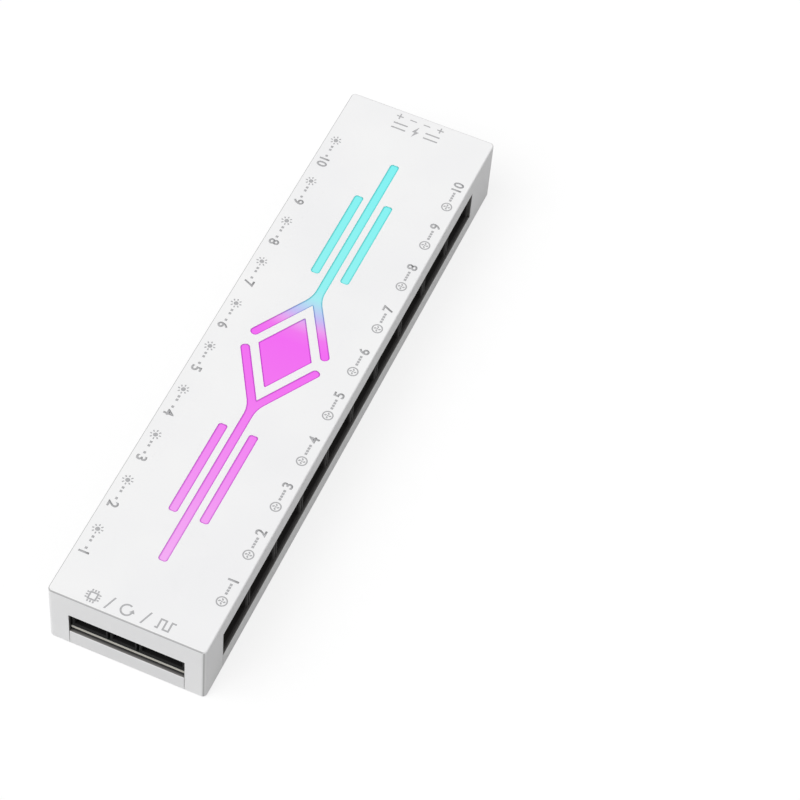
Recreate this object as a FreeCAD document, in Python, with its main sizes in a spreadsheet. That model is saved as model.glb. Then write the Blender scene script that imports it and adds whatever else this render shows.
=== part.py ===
import FreeCAD, Part
import math
import os
from types import SimpleNamespace

import Sketcher

# Driving dimensions in millimetres, written to the sheet under these names
SIZES = {
    # Case outside: Z up, length along Y, width along X, origin at the middle of the bottom face
    "case_width": 34.0,
    "case_height": 16.4,
    "case_corner_radius": 1.0,
    "top_edge_round": 0.35,
    "bottom_edge_round": 0.5,
    # Walls of the two mouldings and the seam between them
    "wall": 1.5,
    "roof": 1.5,
    "floor_thickness": 1.6,
    "seam_gap": 0.12,
    "inner_corner_radius": 0.4,
    # The two rows of ports along the long sides, which with a room at each end make the case's length
    "port_count": 10,
    "port_pitch": 12.5,
    "slot_margin": 0.15,
    "near_end_room": 7.85,
    "far_end_room": 11.85,
    "fan_slot_bottom": 4.3,
    "fan_slot_top": 12.0,
    "rgb_slot_bottom": 2.9,
    "rgb_slot_top": 10.2,
    # The signal slot in the near end and the power slot in the far end
    "end_slot_side": 4.475,
    "end_slot_bottom": 4.45,
    "end_slot_top": 10.0,
    "power_slot_bottom": 5.9,
    "power_slot_top": 12.6,
    "power_slot_side_gap": 0.15,
    "slot_edge_round": 0.2,
    # The lit figure: a lozenge between two stems that fork into arms, with a bar at each side of a stem
    "bar_width": 2.0,
    "bar_corner_radius": 0.65,
    "side_bar_offset": 3.4,
    "side_bar_start": 21.9,
    "side_bar_setback": 11.4,
    "stem_end_room": 15.5,
    "fork_radius": 7.0,
    "arm_end_gap": 3.14,
    "arm_gap": 1.82,
    "arm_end_radius": 0.9,
    "lozenge_half_width": 6.05,
    "lozenge_half_length": 10.15,
    "lozenge_corner_radius": 0.25,
    "window_gap": 0.06,
    "figure_recess": 0.12,
    # The light guide's plate under the roof and the stakes that hold it
    "guide_width": 19.2,
    "guide_end_room": 14.0,
    "guide_thickness": 1.2,
    "stake_x": 7.4,
    "stake_end_gap": 6.5,
    "stake_radius": 0.7,
    "stake_hole_gap": 0.1,
    "stake_head_radius": 1.2,
    "stake_head_height": 0.4,
    # The circuit board, wide at both ends and narrow between the rows of headers
    "board_bottom": 5.2,
    "board_thickness": 0.8,
    "board_end_setback": 0.6,
    "board_wall_gap": 0.2,
    "board_slot_gap": 0.225,
    "board_header_gap": 0.2,
    # Screws up through the board into bosses under the roof
    "boss_radius": 2.0,
    "near_boss_inset": 11.6,
    "far_boss_inset": 4.3,
    "screw_radius": 0.8,
    "screw_hole_gap": 0.25,
    "pilot_gap": 0.05,
    "pilot_depth": 5.5,
    "screw_length": 5.0,
    "screw_head_radius": 1.8,
    "screw_head_height": 1.2,
    # Posts and ribs on the cover that carry the board and the headers
    "post_radius": 1.5,
    "post_spacing": 36.0,
    "rib_thickness": 0.8,
    "tab_root": 0.4,
    # Snap hooks of the cover and their recesses in the case walls
    "hook_width": 4.0,
    "hook_thickness": 1.0,
    "hook_wall_gap": 0.3,
    "hook_near_inset": 4.5,
    "hook_far_inset": 6.5,
    "hook_height": 7.0,
    "bead_depth": 0.4,
    "bead_low": 4.9,
    "bead_height": 1.4,
    "recess_gap": 0.15,
    # The magnetic pad in its recess under the cover
    "pad_side_margin": 6.25,
    "pad_end_margin": 15.2,
    "pad_thickness": 0.9,
    "pad_inset": 0.1,
    "pad_side_gap": 0.12,
    # Headers of the long sides, with a room between the two rows for the board
    "header_gap": 0.3,
    "header_setback": 0.5,
    "middle_room": 11.0,
    "header_side_wall": 0.8,
    "header_flat_wall": 0.6,
    "header_back": 1.2,
    "header_slot_gap": 0.1,
    "mouth_chamfer": 0.25,
    "lug_length": 1.2,
    "lug_width": 1.4,
    "lug_height": 1.4,
    "key_width": 5.1,
    "key_height": 0.9,
    "rgb_key_width": 1.2,
    "pin_pitch": 2.54,
    "pin_thickness": 0.64,
    "pin_recess": 4.6,
    "pin_run": 0.9,
    "pin_foot": 1.2,
    "fan_pin_rise": 1.65,
    "rgb_pin_rise": 0.55,
    # Sockets of the near end
    "small_setback": 0.7,
    "small_depth": 5.8,
    "small_wall": 0.5,
    "small_back": 1.0,
    "small_pitch": 2.0,
    "small_pin_thickness": 0.5,
    "small_slot_gap": 0.425,
    "small_gap": 0.55,
    "small_pin_recess": 1.2,
    "small_pin_run": 0.5,
    "small_pin_foot": 0.8,
    "small_pin_rise": 1.95,
    "small_key_width": 1.6,
    "small_key_height": 0.4,
    # Power socket of the far end
    "power_depth": 10.0,
    "power_pin_rise": 2.8,
    "power_pin_recess": 4.4,
    # Parts on the board
    "emitter_count": 10,
    "emitter_end_gap": 9.0,
    "emitter_side": 5.0,
    "emitter_height": 1.6,
    "emitter_well_radius": 2.0,
    "emitter_well_depth": 0.4,
    "chip_side": 4.0,
    "chip_height": 0.9,
    "buffer_side": 3.0,
    "buffer_height": 0.8,
    "regulator_length": 4.5,
    "regulator_width": 2.5,
    "regulator_height": 1.5,
    "capacitor_radius": 1.5,
    "capacitor_height": 5.4,
    "capacitor_base_side": 3.3,
    "capacitor_base_height": 0.7,
}

# Pins of each socket, as places in units of the pitch from the socket's middle
FAN_PINS = [-1.5, -0.5, 0.5, 1.5]
RGB_PINS = [-1.5, 0.5, 1.5]
RGB_KEY_PLACE = -0.5
SYNC_PINS = [-1.0, 0.0, 1.0]
RESET_PINS = [-0.5, 0.5]
PWM_PINS = [-1.5, -0.5, 0.5, 1.5]

NEARLY = 0.001


class Size:
    """A number together with the sheet expression that gives it."""

    def __init__(self, value, text):
        self.value = value
        self.text = text

    def __add__(self, other):
        other = as_size(other)
        return Size(self.value + other.value, f"({self.text} + {other.text})")

    def __radd__(self, other):
        return as_size(other) + self

    def __sub__(self, other):
        other = as_size(other)
        return Size(self.value - other.value, f"({self.text} - {other.text})")

    def __rsub__(self, other):
        return as_size(other) - self

    def __mul__(self, other):
        other = as_size(other)
        return Size(self.value * other.value, f"({self.text} * {other.text})")

    def __rmul__(self, other):
        return as_size(other) * self

    def __truediv__(self, other):
        other = as_size(other)
        return Size(self.value / other.value, f"({self.text} / {other.text})")

    def __neg__(self):
        return Size(-self.value, f"(0 - {self.text})")


def as_size(number):
    """A plain number or a Size, as a Size."""
    if isinstance(number, Size):
        return number
    return Size(number, f"({number})")


def hypotenuse(a, b):
    """The long side of a right triangle with short sides a and b."""
    return Size(math.hypot(a.value, b.value), f"sqrt({a.text} * {a.text} + {b.text} * {b.text})")


# The document and its sheet
doc = FreeCAD.newDocument("fan_hub")
sheet = doc.addObject("Spreadsheet::Sheet", "Sizes")
for row, (alias, number) in enumerate(SIZES.items(), start=1):
    sheet.set(f"A{row}", alias)
    sheet.set(f"B{row}", str(number))
    sheet.setAlias(f"B{row}", alias)
doc.recompute()
s = SimpleNamespace(**{alias: Size(number, f"Sizes.{alias}") for alias, number in SIZES.items()})

# Levels and faces that several pieces share
port_row_length = s.port_count * s.port_pitch + s.slot_margin * 2
half_width = s.case_width / 2
half_length = (port_row_length + s.near_end_room + s.far_end_room) / 2
inner_half_width = half_width - s.wall
inner_half_length = half_length - s.wall
roof_bottom = s.case_height - s.roof
board_top = s.board_bottom + s.board_thickness
slot_near = s.near_end_room - half_length
slot_far = half_length - s.far_end_room
port_row_middle = (slot_near + slot_far) / 2
header_width = s.port_pitch - s.header_gap
header_mouth = half_width - s.header_setback
header_end = s.middle_room / 2
header_depth = header_mouth - header_end
fan_header_bottom = s.fan_slot_bottom + s.header_slot_gap
fan_header_top = s.fan_slot_top - s.header_slot_gap
rgb_header_bottom = s.rgb_slot_bottom + s.header_slot_gap
rgb_header_top = s.rgb_slot_top - s.header_slot_gap
power_slot_half = header_width / 2 + s.power_slot_side_gap
end_slot_half = half_width - s.end_slot_side
stem_tip = half_length - s.stem_end_room
side_bar_end = stem_tip - s.side_bar_setback
guide_half_length = half_length - s.guide_end_room
stake_y = guide_half_length - s.stake_end_gap
stake_places = [(x, y) for x in (-s.stake_x, s.stake_x) for y in (-stake_y, stake_y)]
hook_places = [("near", s.hook_near_inset - half_length), ("far", half_length - s.hook_far_inset)]
pad_half_width = half_width - s.pad_side_margin
pad_half_length = half_length - s.pad_end_margin
board_wide_half = end_slot_half - s.board_slot_gap
beside_power = (header_width / 2 + board_wide_half) / 2
far_boss_y = half_length - s.far_boss_inset
boss_places = [
    (as_size(0), s.near_boss_inset - half_length),
    (-beside_power, far_boss_y),
    (beside_power, far_boss_y),
]
emitter_pitch = (guide_half_length - s.emitter_end_gap) * 2 / (s.emitter_count - 1)


# Helpers for bodies, sketches and features


def new_body(label):
    """An empty body whose label names its piece."""
    body = doc.addObject("PartDesign::Body", label)
    body.Label = label
    return body


def origin_item(body, role):
    """One of the body's own base planes or axes."""
    return next(item for item in body.Origin.OriginFeatures if item.Role == role)


def new_sketch(body, name, plane, offset=0):
    """A sketch on one of the body's base planes, moved along the plane's normal."""
    sketch = body.newObject("Sketcher::SketchObject", name)
    sketch.AttachmentSupport = [(origin_item(body, plane), "")]
    sketch.MapMode = "FlatFace"
    offset = as_size(offset)
    sketch.AttachmentOffset = FreeCAD.Placement(FreeCAD.Vector(0, 0, offset.value), FreeCAD.Rotation())
    sketch.setExpression("AttachmentOffset.Base.z", offset.text)
    return sketch


def bind(sketch, kind, geometry, point, size):
    """A constraint whose value follows the sheet."""
    index = sketch.addConstraint(Sketcher.Constraint(kind, geometry, point, size.value))
    sketch.setExpression(f"Constraints[{index}]", size.text)


def add_polygon(sketch, points):
    """A closed outline of straight lines through points that follow the sheet."""
    points = [(as_size(x), as_size(y)) for x, y in points]
    corners = [FreeCAD.Vector(x.value, y.value, 0) for x, y in points]
    count = len(points)
    first = sketch.GeometryCount
    for index in range(count):
        sketch.addGeometry(Part.LineSegment(corners[index], corners[(index + 1) % count]), False)
    for index in range(count):
        following = first + (index + 1) % count
        sketch.addConstraint(Sketcher.Constraint("Coincident", first + index, 2, following, 1))
    for index, (x, y) in enumerate(points):
        bind(sketch, "DistanceX", first + index, 1, x)
        bind(sketch, "DistanceY", first + index, 1, y)


def add_circle(sketch, x, y, radius):
    """A circle whose centre and radius follow the sheet."""
    x, y = as_size(x), as_size(y)
    centre = FreeCAD.Vector(x.value, y.value, 0)
    circle = sketch.addGeometry(Part.Circle(centre, FreeCAD.Vector(0, 0, 1), radius.value), False)
    index = sketch.addConstraint(Sketcher.Constraint("Radius", circle, radius.value))
    sketch.setExpression(f"Constraints[{index}]", radius.text)
    bind(sketch, "DistanceX", circle, 3, x)
    bind(sketch, "DistanceY", circle, 3, y)


def rectangle(x_low, y_low, x_high, y_high):
    """The corners of an upright rectangle."""
    return [(x_low, y_low), (x_high, y_low), (x_high, y_high), (x_low, y_high)]


def centred(half_x, half_y):
    """The corners of a rectangle about the origin."""
    return rectangle(-half_x, -half_y, half_x, half_y)


def extrude(body, kind, sketch, length, reverse=False, midplane=False):
    """A pad or a pocket of a sketch, which has to add or remove something."""
    before = body.Shape.Volume if body.Tip else 0.0
    feature = body.newObject(f"PartDesign::{kind}", f"{sketch.Name}_{kind.lower()}")
    feature.Profile = sketch
    feature.Length = as_size(length).value
    feature.setExpression("Length", as_size(length).text)
    feature.Reversed = reverse
    feature.Midplane = midplane
    doc.recompute()
    change = body.Shape.Volume - before
    wrong = change <= 0 if kind == "Pad" else change >= 0
    if wrong:
        raise ValueError(f"{feature.Name} changes nothing")
    return feature


def pad_polygons(body, name, plane, offset, outlines, length, **options):
    """One pad of several closed outlines."""
    sketch = new_sketch(body, name, plane, offset)
    for outline in outlines:
        add_polygon(sketch, outline)
    return extrude(body, "Pad", sketch, length, **options)


def cut_polygons(body, name, plane, offset, outlines, length, **options):
    """One pocket of several closed outlines."""
    sketch = new_sketch(body, name, plane, offset)
    for outline in outlines:
        add_polygon(sketch, outline)
    return extrude(body, "Pocket", sketch, length, **options)


def pad_circles(body, name, offset, places, radius, length, **options):
    """One pad of round posts that stand along Z."""
    sketch = new_sketch(body, name, "XY_Plane", offset)
    for x, y in places:
        add_circle(sketch, x, y, radius)
    return extrude(body, "Pad", sketch, length, **options)


def cut_circles(body, name, offset, places, radius, length, **options):
    """One pocket of round holes along Z."""
    sketch = new_sketch(body, name, "XY_Plane", offset)
    for x, y in places:
        add_circle(sketch, x, y, radius)
    return extrude(body, "Pocket", sketch, length, **options)


def dress(body, kind, name, radius, choose):
    """A fillet or a chamfer on the edges of the body's last feature that a test picks."""
    base = body.Tip
    edges = [f"Edge{i}" for i, edge in enumerate(base.Shape.Edges, start=1) if choose(edge)]
    feature = body.newObject(f"PartDesign::{kind}", name)
    feature.Base = (base, edges)
    size_name = "Radius" if kind == "Fillet" else "Size"
    setattr(feature, size_name, as_size(radius).value)
    feature.setExpression(size_name, as_size(radius).text)
    doc.recompute()
    return feature


def is_upright(edge):
    """Whether an edge runs along Z."""
    box = edge.BoundBox
    return box.ZLength > NEARLY and box.XLength < NEARLY and box.YLength < NEARLY


def lies_at(edge, height):
    """Whether an edge lies flat at a height."""
    return abs(edge.BoundBox.ZMin - height.value) < NEARLY and abs(edge.BoundBox.ZMax - height.value) < NEARLY


def stands_at(edge, points):
    """Whether an upright edge passes one of some points seen from above."""
    middle = edge.BoundBox.Center
    near = (math.hypot(middle.x - x.value, middle.y - y.value) < NEARLY for x, y in points)
    return is_upright(edge) and any(near)


def on_outer_face(edge):
    """Whether an edge lies in one of the case's four outer walls."""
    box = edge.BoundBox
    side = box.XLength < NEARLY and abs(abs(box.XMin) - half_width.value) < NEARLY
    end = box.YLength < NEARLY and abs(abs(box.YMin) - half_length.value) < NEARLY
    return side or end


def edges_a_slot(edge, heights):
    """Whether an edge lies flat in an outer wall at the height where a slot ends."""
    return on_outer_face(edge) and any(lies_at(edge, height) for height in heights)


def bottom_outer_edge(edge):
    """Whether an edge lies flat at the bottom of an outer wall."""
    return lies_at(edge, as_size(0)) and on_outer_face(edge)


def copy_body(master, label, x, y, turn):
    """Another piece of the same form, turned about Z and moved."""
    body = doc.addObject("PartDesign::Body", label)
    body.Label = label
    base = doc.addObject("PartDesign::FeatureBase", f"{label}_form")
    base.BaseFeature = master
    body.Group = [base]
    body.Tip = base
    place_body(body, x, y, turn)
    return body


def place_body(body, x, y, turn):
    """A turn about Z and a place that follow the sheet."""
    x, y = as_size(x), as_size(y)
    turned = FreeCAD.Rotation(FreeCAD.Vector(0, 0, 1), turn)
    body.Placement = FreeCAD.Placement(FreeCAD.Vector(x.value, y.value, 0), turned)
    body.setExpression("Placement.Base.x", x.text)
    body.setExpression("Placement.Base.y", y.text)


# The lit figure's outlines, shared by the windows and by the light guide that fills them


def side_bars(inset):
    """The four bars beside the stems, drawn in from the windows by an inset."""
    half = s.bar_width / 2 - inset
    outlines = []
    low = s.side_bar_start + inset
    high = side_bar_end - inset
    for x in (-s.side_bar_offset, s.side_bar_offset):
        outlines.append(rectangle(x - half, low, x + half, high))
        outlines.append(rectangle(x - half, -high, x + half, -low))
    return outlines


def both_sides(points):
    """Points and their mirror images across the Y axis, going round."""
    return points + [(-x, y) for x, y in reversed(points)]


def fork(inset, side):
    """A stem with its two arms round one end of the lozenge: its outline, and its corners by their place.

    Side is 1 for the far fork and -1 for the near one.
    """
    slant = hypotenuse(s.lozenge_half_width, s.lozenge_half_length)
    sine = s.lozenge_half_width / slant
    cosine = s.lozenge_half_length / slant
    half = s.bar_width / 2 - inset
    apex = s.lozenge_half_length + (s.arm_gap + s.bar_width / 2) / sine
    reach = (apex - s.arm_end_gap / 2) / cosine - inset
    end_x = reach * sine
    end_y = apex - reach * cosine
    tip = (half, (stem_tip - inset) * side)
    joint = (half, (apex + half / sine - half * cosine / sine) * side)
    outer = (end_x + half * cosine, (end_y + half * sine) * side)
    inner = (end_x - half * cosine, (end_y - half * sine) * side)
    crotch = (as_size(0), (apex - half / sine) * side)
    right = [tip, joint, outer, inner]
    outline = right + [crotch] + [(-x, y) for x, y in reversed(right)]
    corners = {"blunt": both_sides([tip]), "joints": both_sides([joint]), "arm_ends": both_sides([outer, inner])}
    return outline, corners


def lozenge(inset):
    """The lozenge's four corners."""
    slant = hypotenuse(s.lozenge_half_width, s.lozenge_half_length)
    x = s.lozenge_half_width - inset * slant / s.lozenge_half_length
    y = s.lozenge_half_length - inset * slant / s.lozenge_half_width
    zero = as_size(0)
    return [(x, zero), (zero, y), (-x, zero), (zero, -y)]


def add_figure(body, kind, offset, length, inset, reverse):
    """The whole figure as pockets or as pads, with its corners rounded."""
    bars = side_bars(inset)
    forks = [fork(inset, side) for side in (1, -1)]
    diamond = lozenge(inset)
    make = cut_polygons if kind == "Pocket" else pad_polygons
    parts = [("bars", bars), ("forks", [outline for outline, corners in forks]), ("lozenge", [diamond])]
    for name, outlines in parts:
        make(body, f"{body.Name}_{name}", "XY_Plane", offset, outlines, length, reverse=reverse)
    radii = {
        "blunt": s.bar_corner_radius - inset,
        "joints": s.fork_radius + inset,
        "arm_ends": s.arm_end_radius - inset,
        "points": s.lozenge_corner_radius - inset,
    }
    places = {"blunt": [point for outline in bars for point in outline], "points": diamond}
    for outline, corners in forks:
        for place, points in corners.items():
            places[place] = places.get(place, []) + points
    for place, radius in radii.items():
        dress(body, "Fillet", f"{body.Name}_{place}", radius, lambda edge: stands_at(edge, places[place]))


# Top shell: an open box with notches down to its rim, windows, bosses and stakes


def notch_outlines():
    """The plan of each wall's notch, with the height of the slot above it."""
    inside_x = inner_half_width - s.wall / 2
    outside_x = half_width + s.wall
    inside_y = inner_half_length - s.wall / 2
    outside_y = half_length + s.wall
    return [
        ("fan_notch", rectangle(inside_x, slot_near, outside_x, slot_far), s.fan_slot_top),
        ("rgb_notch", rectangle(-outside_x, slot_near, -inside_x, slot_far), s.rgb_slot_top),
        ("end_notch", rectangle(-end_slot_half, -outside_y, end_slot_half, -inside_y), s.end_slot_top),
        ("power_notch", rectangle(-power_slot_half, inside_y, power_slot_half, outside_y), s.power_slot_top),
    ]


def make_top_shell():
    """The upper moulding."""
    body = new_body("top_shell")
    outline = centred(half_width, half_length)
    pad_polygons(body, "shell_block", "XY_Plane", 0, [outline], s.case_height)
    dress(body, "Fillet", "shell_corners", s.case_corner_radius, is_upright)
    dress(body, "Fillet", "shell_top_edge", s.top_edge_round, lambda edge: lies_at(edge, s.case_height))
    dress(body, "Fillet", "shell_rim_edge", s.bottom_edge_round, lambda edge: lies_at(edge, as_size(0)))
    hollow = centred(inner_half_width, inner_half_length)
    cut_polygons(body, "shell_hollow", "XY_Plane", 0, [hollow], roof_bottom, reverse=True)
    dress(body, "Fillet", "shell_inner_corners", s.inner_corner_radius, lambda edge: stands_at(edge, hollow))
    for name, plan, top in notch_outlines():
        cut_polygons(body, f"shell_{name}", "XY_Plane", 0, [plan], top, reverse=True)
    slot_tops = [top for name, plan, top in notch_outlines()]
    dress(body, "Fillet", "shell_slot_edges", s.slot_edge_round, lambda edge: edges_a_slot(edge, slot_tops))
    add_figure(body, "Pocket", s.case_height, s.roof, as_size(0), False)
    boss_height = roof_bottom - board_top
    pad_circles(body, "shell_bosses", board_top, boss_places, s.boss_radius, boss_height)
    pilot_radius = s.screw_radius + s.pilot_gap
    cut_circles(body, "shell_pilots", board_top, boss_places, pilot_radius, s.pilot_depth, reverse=True)
    stake_bottom = roof_bottom - s.guide_thickness - s.stake_head_height
    stake_height = s.guide_thickness + s.stake_head_height
    pad_circles(body, "shell_stakes", stake_bottom, stake_places, s.stake_radius, stake_height)
    pad_circles(body, "shell_heads", stake_bottom, stake_places, s.stake_head_radius, s.stake_head_height)
    cut_hook_recesses(body)
    return body


def cut_hook_recesses(body):
    """The recesses that the cover's beads snap into."""
    low = s.bead_low - s.recess_gap
    height = s.bead_height + s.recess_gap * 2
    inside = inner_half_width - s.wall / 2
    outside = inner_half_width + s.bead_depth + s.recess_gap
    half = s.hook_width / 2 + s.recess_gap
    plans = []
    for name, y in hook_places:
        plans.append(rectangle(inside, y - half, outside, y + half))
        plans.append(rectangle(-outside, y - half, -inside, y + half))
    cut_polygons(body, "shell_hook_recesses", "XY_Plane", low, plans, height, reverse=True)


# Bottom cover: a plate inside the walls, with tabs that close the notches up to the slots


def make_bottom_cover():
    """The lower moulding."""
    body = new_body("bottom_cover")
    plate_x = inner_half_width - s.seam_gap
    plate_y = inner_half_length - s.seam_gap
    pad_polygons(body, "cover_plate", "XY_Plane", 0, [centred(plate_x, plate_y)], s.floor_thickness)
    dress(body, "Fillet", "cover_corners", s.inner_corner_radius, is_upright)
    tab_x = plate_x - s.tab_root
    tab_y = plate_y - s.tab_root
    near = slot_near + s.seam_gap
    far = slot_far - s.seam_gap
    end_half = end_slot_half - s.seam_gap
    power_half = power_slot_half - s.seam_gap
    tabs = [
        ("fan_tab", rectangle(tab_x, near, half_width, far), s.fan_slot_bottom),
        ("rgb_tab", rectangle(-half_width, near, -tab_x, far), s.rgb_slot_bottom),
        ("end_tab", rectangle(-end_half, -half_length, end_half, -tab_y), s.end_slot_bottom),
        ("power_tab", rectangle(-power_half, tab_y, power_half, half_length), s.power_slot_bottom),
    ]
    for name, plan, height in tabs:
        pad_polygons(body, f"cover_{name}", "XY_Plane", 0, [plan], height)
    tab_tops = [height for name, plan, height in tabs]
    dress(body, "Fillet", "cover_slot_edges", s.slot_edge_round, lambda edge: edges_a_slot(edge, tab_tops))
    dress(body, "Fillet", "cover_bottom_edge", s.bottom_edge_round, bottom_outer_edge)
    recess = centred(pad_half_width + s.pad_side_gap, pad_half_length + s.pad_side_gap)
    recess_depth = s.pad_thickness + s.pad_inset
    cut_polygons(body, "cover_recess", "XY_Plane", 0, [recess], recess_depth, reverse=True)
    posts = [(as_size(0), -s.post_spacing), (as_size(0), as_size(0)), (as_size(0), s.post_spacing)]
    post_height = s.board_bottom - s.floor_thickness
    pad_circles(body, "cover_posts", s.floor_thickness, posts, s.post_radius, post_height)
    add_ribs(body, near, far)
    add_hooks(body)
    return body


def add_ribs(body, near, far):
    """A rib under the middle of each row of headers."""
    middle = (header_mouth + header_end) / 2
    half = s.rib_thickness / 2
    fan_rib = rectangle(middle - half, near, middle + half, far)
    rgb_rib = rectangle(-middle - half, near, -middle + half, far)
    fan_height = fan_header_bottom - s.floor_thickness
    rgb_height = rgb_header_bottom - s.floor_thickness
    pad_polygons(body, "cover_fan_rib", "XY_Plane", s.floor_thickness, [fan_rib], fan_height)
    pad_polygons(body, "cover_rgb_rib", "XY_Plane", s.floor_thickness, [rgb_rib], rgb_height)


def add_hooks(body):
    """Four springy hooks with wedge beads, two at each end."""
    face = inner_half_width - s.hook_wall_gap
    back = face - s.hook_thickness
    bead = inner_half_width + s.bead_depth
    bead_high = s.bead_low + s.bead_height
    profile = [
        (back, s.floor_thickness),
        (face, s.floor_thickness),
        (face, s.bead_low),
        (bead, s.bead_low),
        (face, bead_high),
        (face, s.hook_height),
        (back, s.hook_height),
    ]
    mirrored = [(-x, z) for x, z in profile]
    for name, y in hook_places:
        hooks = [profile, mirrored]
        pad_polygons(body, f"cover_{name}_hooks", "XZ_Plane", -y, hooks, s.hook_width, midplane=True)


# Light guide, magnetic pad, board and screws


def make_light_guide():
    """The milky plate under the roof, with the raised figure that fills the windows."""
    body = new_body("light_guide")
    plate = centred(s.guide_width / 2, guide_half_length)
    plate_bottom = roof_bottom - s.guide_thickness
    pad_polygons(body, "guide_plate", "XY_Plane", plate_bottom, [plate], s.guide_thickness)
    add_figure(body, "Pad", roof_bottom, s.roof - s.figure_recess, s.window_gap, False)
    hole_radius = s.stake_radius + s.stake_hole_gap
    cut_circles(body, "guide_holes", plate_bottom, stake_places, hole_radius, s.guide_thickness, reverse=True)
    return body


def make_magnetic_pad():
    """The flexible magnet glued into the cover's recess."""
    body = new_body("magnetic_pad")
    outline = centred(pad_half_width, pad_half_length)
    pad_polygons(body, "pad_sheet", "XY_Plane", s.pad_inset, [outline], s.pad_thickness)
    return body


def make_circuit_board():
    """The board, narrow between the headers and wide at both ends."""
    body = new_body("circuit_board")
    narrow = header_end - s.board_header_gap
    near_end = -half_length + s.board_end_setback
    far_end = inner_half_length - s.seam_gap - s.tab_root - s.board_wall_gap
    near_step = slot_near - s.board_header_gap
    far_step = slot_far + s.board_header_gap
    right = [
        (board_wide_half, near_end),
        (board_wide_half, near_step),
        (narrow, near_step),
        (narrow, far_step),
        (board_wide_half, far_step),
        (board_wide_half, far_end),
    ]
    outline = both_sides(right)
    pad_polygons(body, "board_sheet", "XY_Plane", s.board_bottom, [outline], s.board_thickness)
    hole_radius = s.screw_radius + s.screw_hole_gap
    cut_circles(body, "board_holes", s.board_bottom, boss_places, hole_radius, s.board_thickness, reverse=True)
    return body


def make_board_screws():
    """The three screws that hold the board against the bosses."""
    body = new_body("board_screws")
    head_bottom = s.board_bottom - s.screw_head_height
    shank_length = s.board_thickness + s.screw_length
    pad_circles(body, "screw_heads", head_bottom, boss_places, s.screw_head_radius, s.screw_head_height)
    pad_circles(body, "screw_shanks", s.board_bottom, boss_places, s.screw_radius, shank_length)
    return body


# Sockets: the mouth is at local x = 0 and the socket reaches back along -x


def cavity_outline(form):
    """The cavity's section in Y and Z, with the key that the plug's other side clears."""
    half = form.width / 2 - form.side_wall
    low = form.bottom + form.flat_wall
    high = form.top - form.flat_wall
    key_left = form.key_y - form.key_width / 2
    key_right = form.key_y + form.key_width / 2
    if form.key_on_top:
        key_low = high - form.key_height
        key = [(key_right, high), (key_right, key_low), (key_left, key_low), (key_left, high)]
        return [(-half, low), (half, low), (half, high)] + key + [(-half, high)]
    key_high = low + form.key_height
    key = [(key_left, low), (key_left, key_high), (key_right, key_high), (key_right, low)]
    return [(-half, low)] + key + [(half, low), (half, high), (-half, high)]


def make_socket(label, form):
    """A shrouded socket with a keyed cavity, pin holes through its back and lugs on the board."""
    body = new_body(label)
    block = rectangle(-form.depth, -form.width / 2, 0, form.width / 2)
    pad_polygons(body, f"{label}_block", "XY_Plane", form.bottom, [block], form.top - form.bottom)
    section = cavity_outline(form)
    cut_polygons(body, f"{label}_cavity", "YZ_Plane", 0, [section], form.depth - form.back)
    half = form.thickness / 2
    level = board_top + form.rise
    places = [form.pitch * place for place in form.pins]
    holes = [rectangle(y - half, level - half, y + half, level + half) for y in places]
    cut_polygons(body, f"{label}_pin_holes", "YZ_Plane", -form.depth + form.back, holes, form.back)
    if form.lugs:
        outer = form.width / 2
        inner = outer - s.lug_width
        back = -form.depth - s.lug_length
        lugs = [rectangle(back, -outer, -form.depth, -inner), rectangle(back, inner, -form.depth, outer)]
        pad_polygons(body, f"{label}_lugs", "XY_Plane", board_top, lugs, s.lug_height)
    dress(body, "Chamfer", f"{label}_lead_in", form.chamfer, lambda edge: mouth_edge(edge, form))
    return body


def mouth_edge(edge, form):
    """Whether an edge is part of the cavity's rim."""
    box = edge.BoundBox
    in_mouth = box.XLength < NEARLY and abs(box.XMin) < NEARLY
    inside_y = max(abs(box.YMin), abs(box.YMax)) < form.width.value / 2 - NEARLY
    inside_z = box.ZMin > form.bottom.value + NEARLY and box.ZMax < form.top.value - NEARLY
    return in_mouth and inside_y and inside_z


def make_pins(label, form):
    """The bent contact pins of one socket, each with a foot soldered flat on the board."""
    body = new_body(label)
    half = form.thickness / 2
    level = board_top + form.rise
    tip = -form.recess
    bend = -form.depth - form.run
    foot = bend - form.foot
    foot_top = board_top + form.thickness
    profile = [
        (tip, level + half),
        (bend, level + half),
        (bend, foot_top),
        (foot, foot_top),
        (foot, board_top),
        (bend + form.thickness, board_top),
        (bend + form.thickness, level - half),
        (tip, level - half),
    ]
    for number, place in enumerate(form.pins, start=1):
        offset = form.pitch * -place
        name = f"{label}_pin_{number}"
        pad_polygons(body, name, "XZ_Plane", offset, [profile], form.thickness, midplane=True)
    return body


def side_form(bottom, top, pins, rise, key_y, key_width, key_on_top):
    """The sizes of one kind of header on the long sides."""
    return SimpleNamespace(
        width=header_width, bottom=bottom, top=top, depth=header_depth, back=s.header_back,
        side_wall=s.header_side_wall, flat_wall=s.header_flat_wall, chamfer=s.mouth_chamfer,
        pins=pins, pitch=s.pin_pitch, thickness=s.pin_thickness, rise=rise, recess=s.pin_recess,
        run=s.pin_run, foot=s.pin_foot, lugs=True,
        key_y=key_y, key_width=key_width, key_height=s.key_height, key_on_top=key_on_top,
    )


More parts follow.
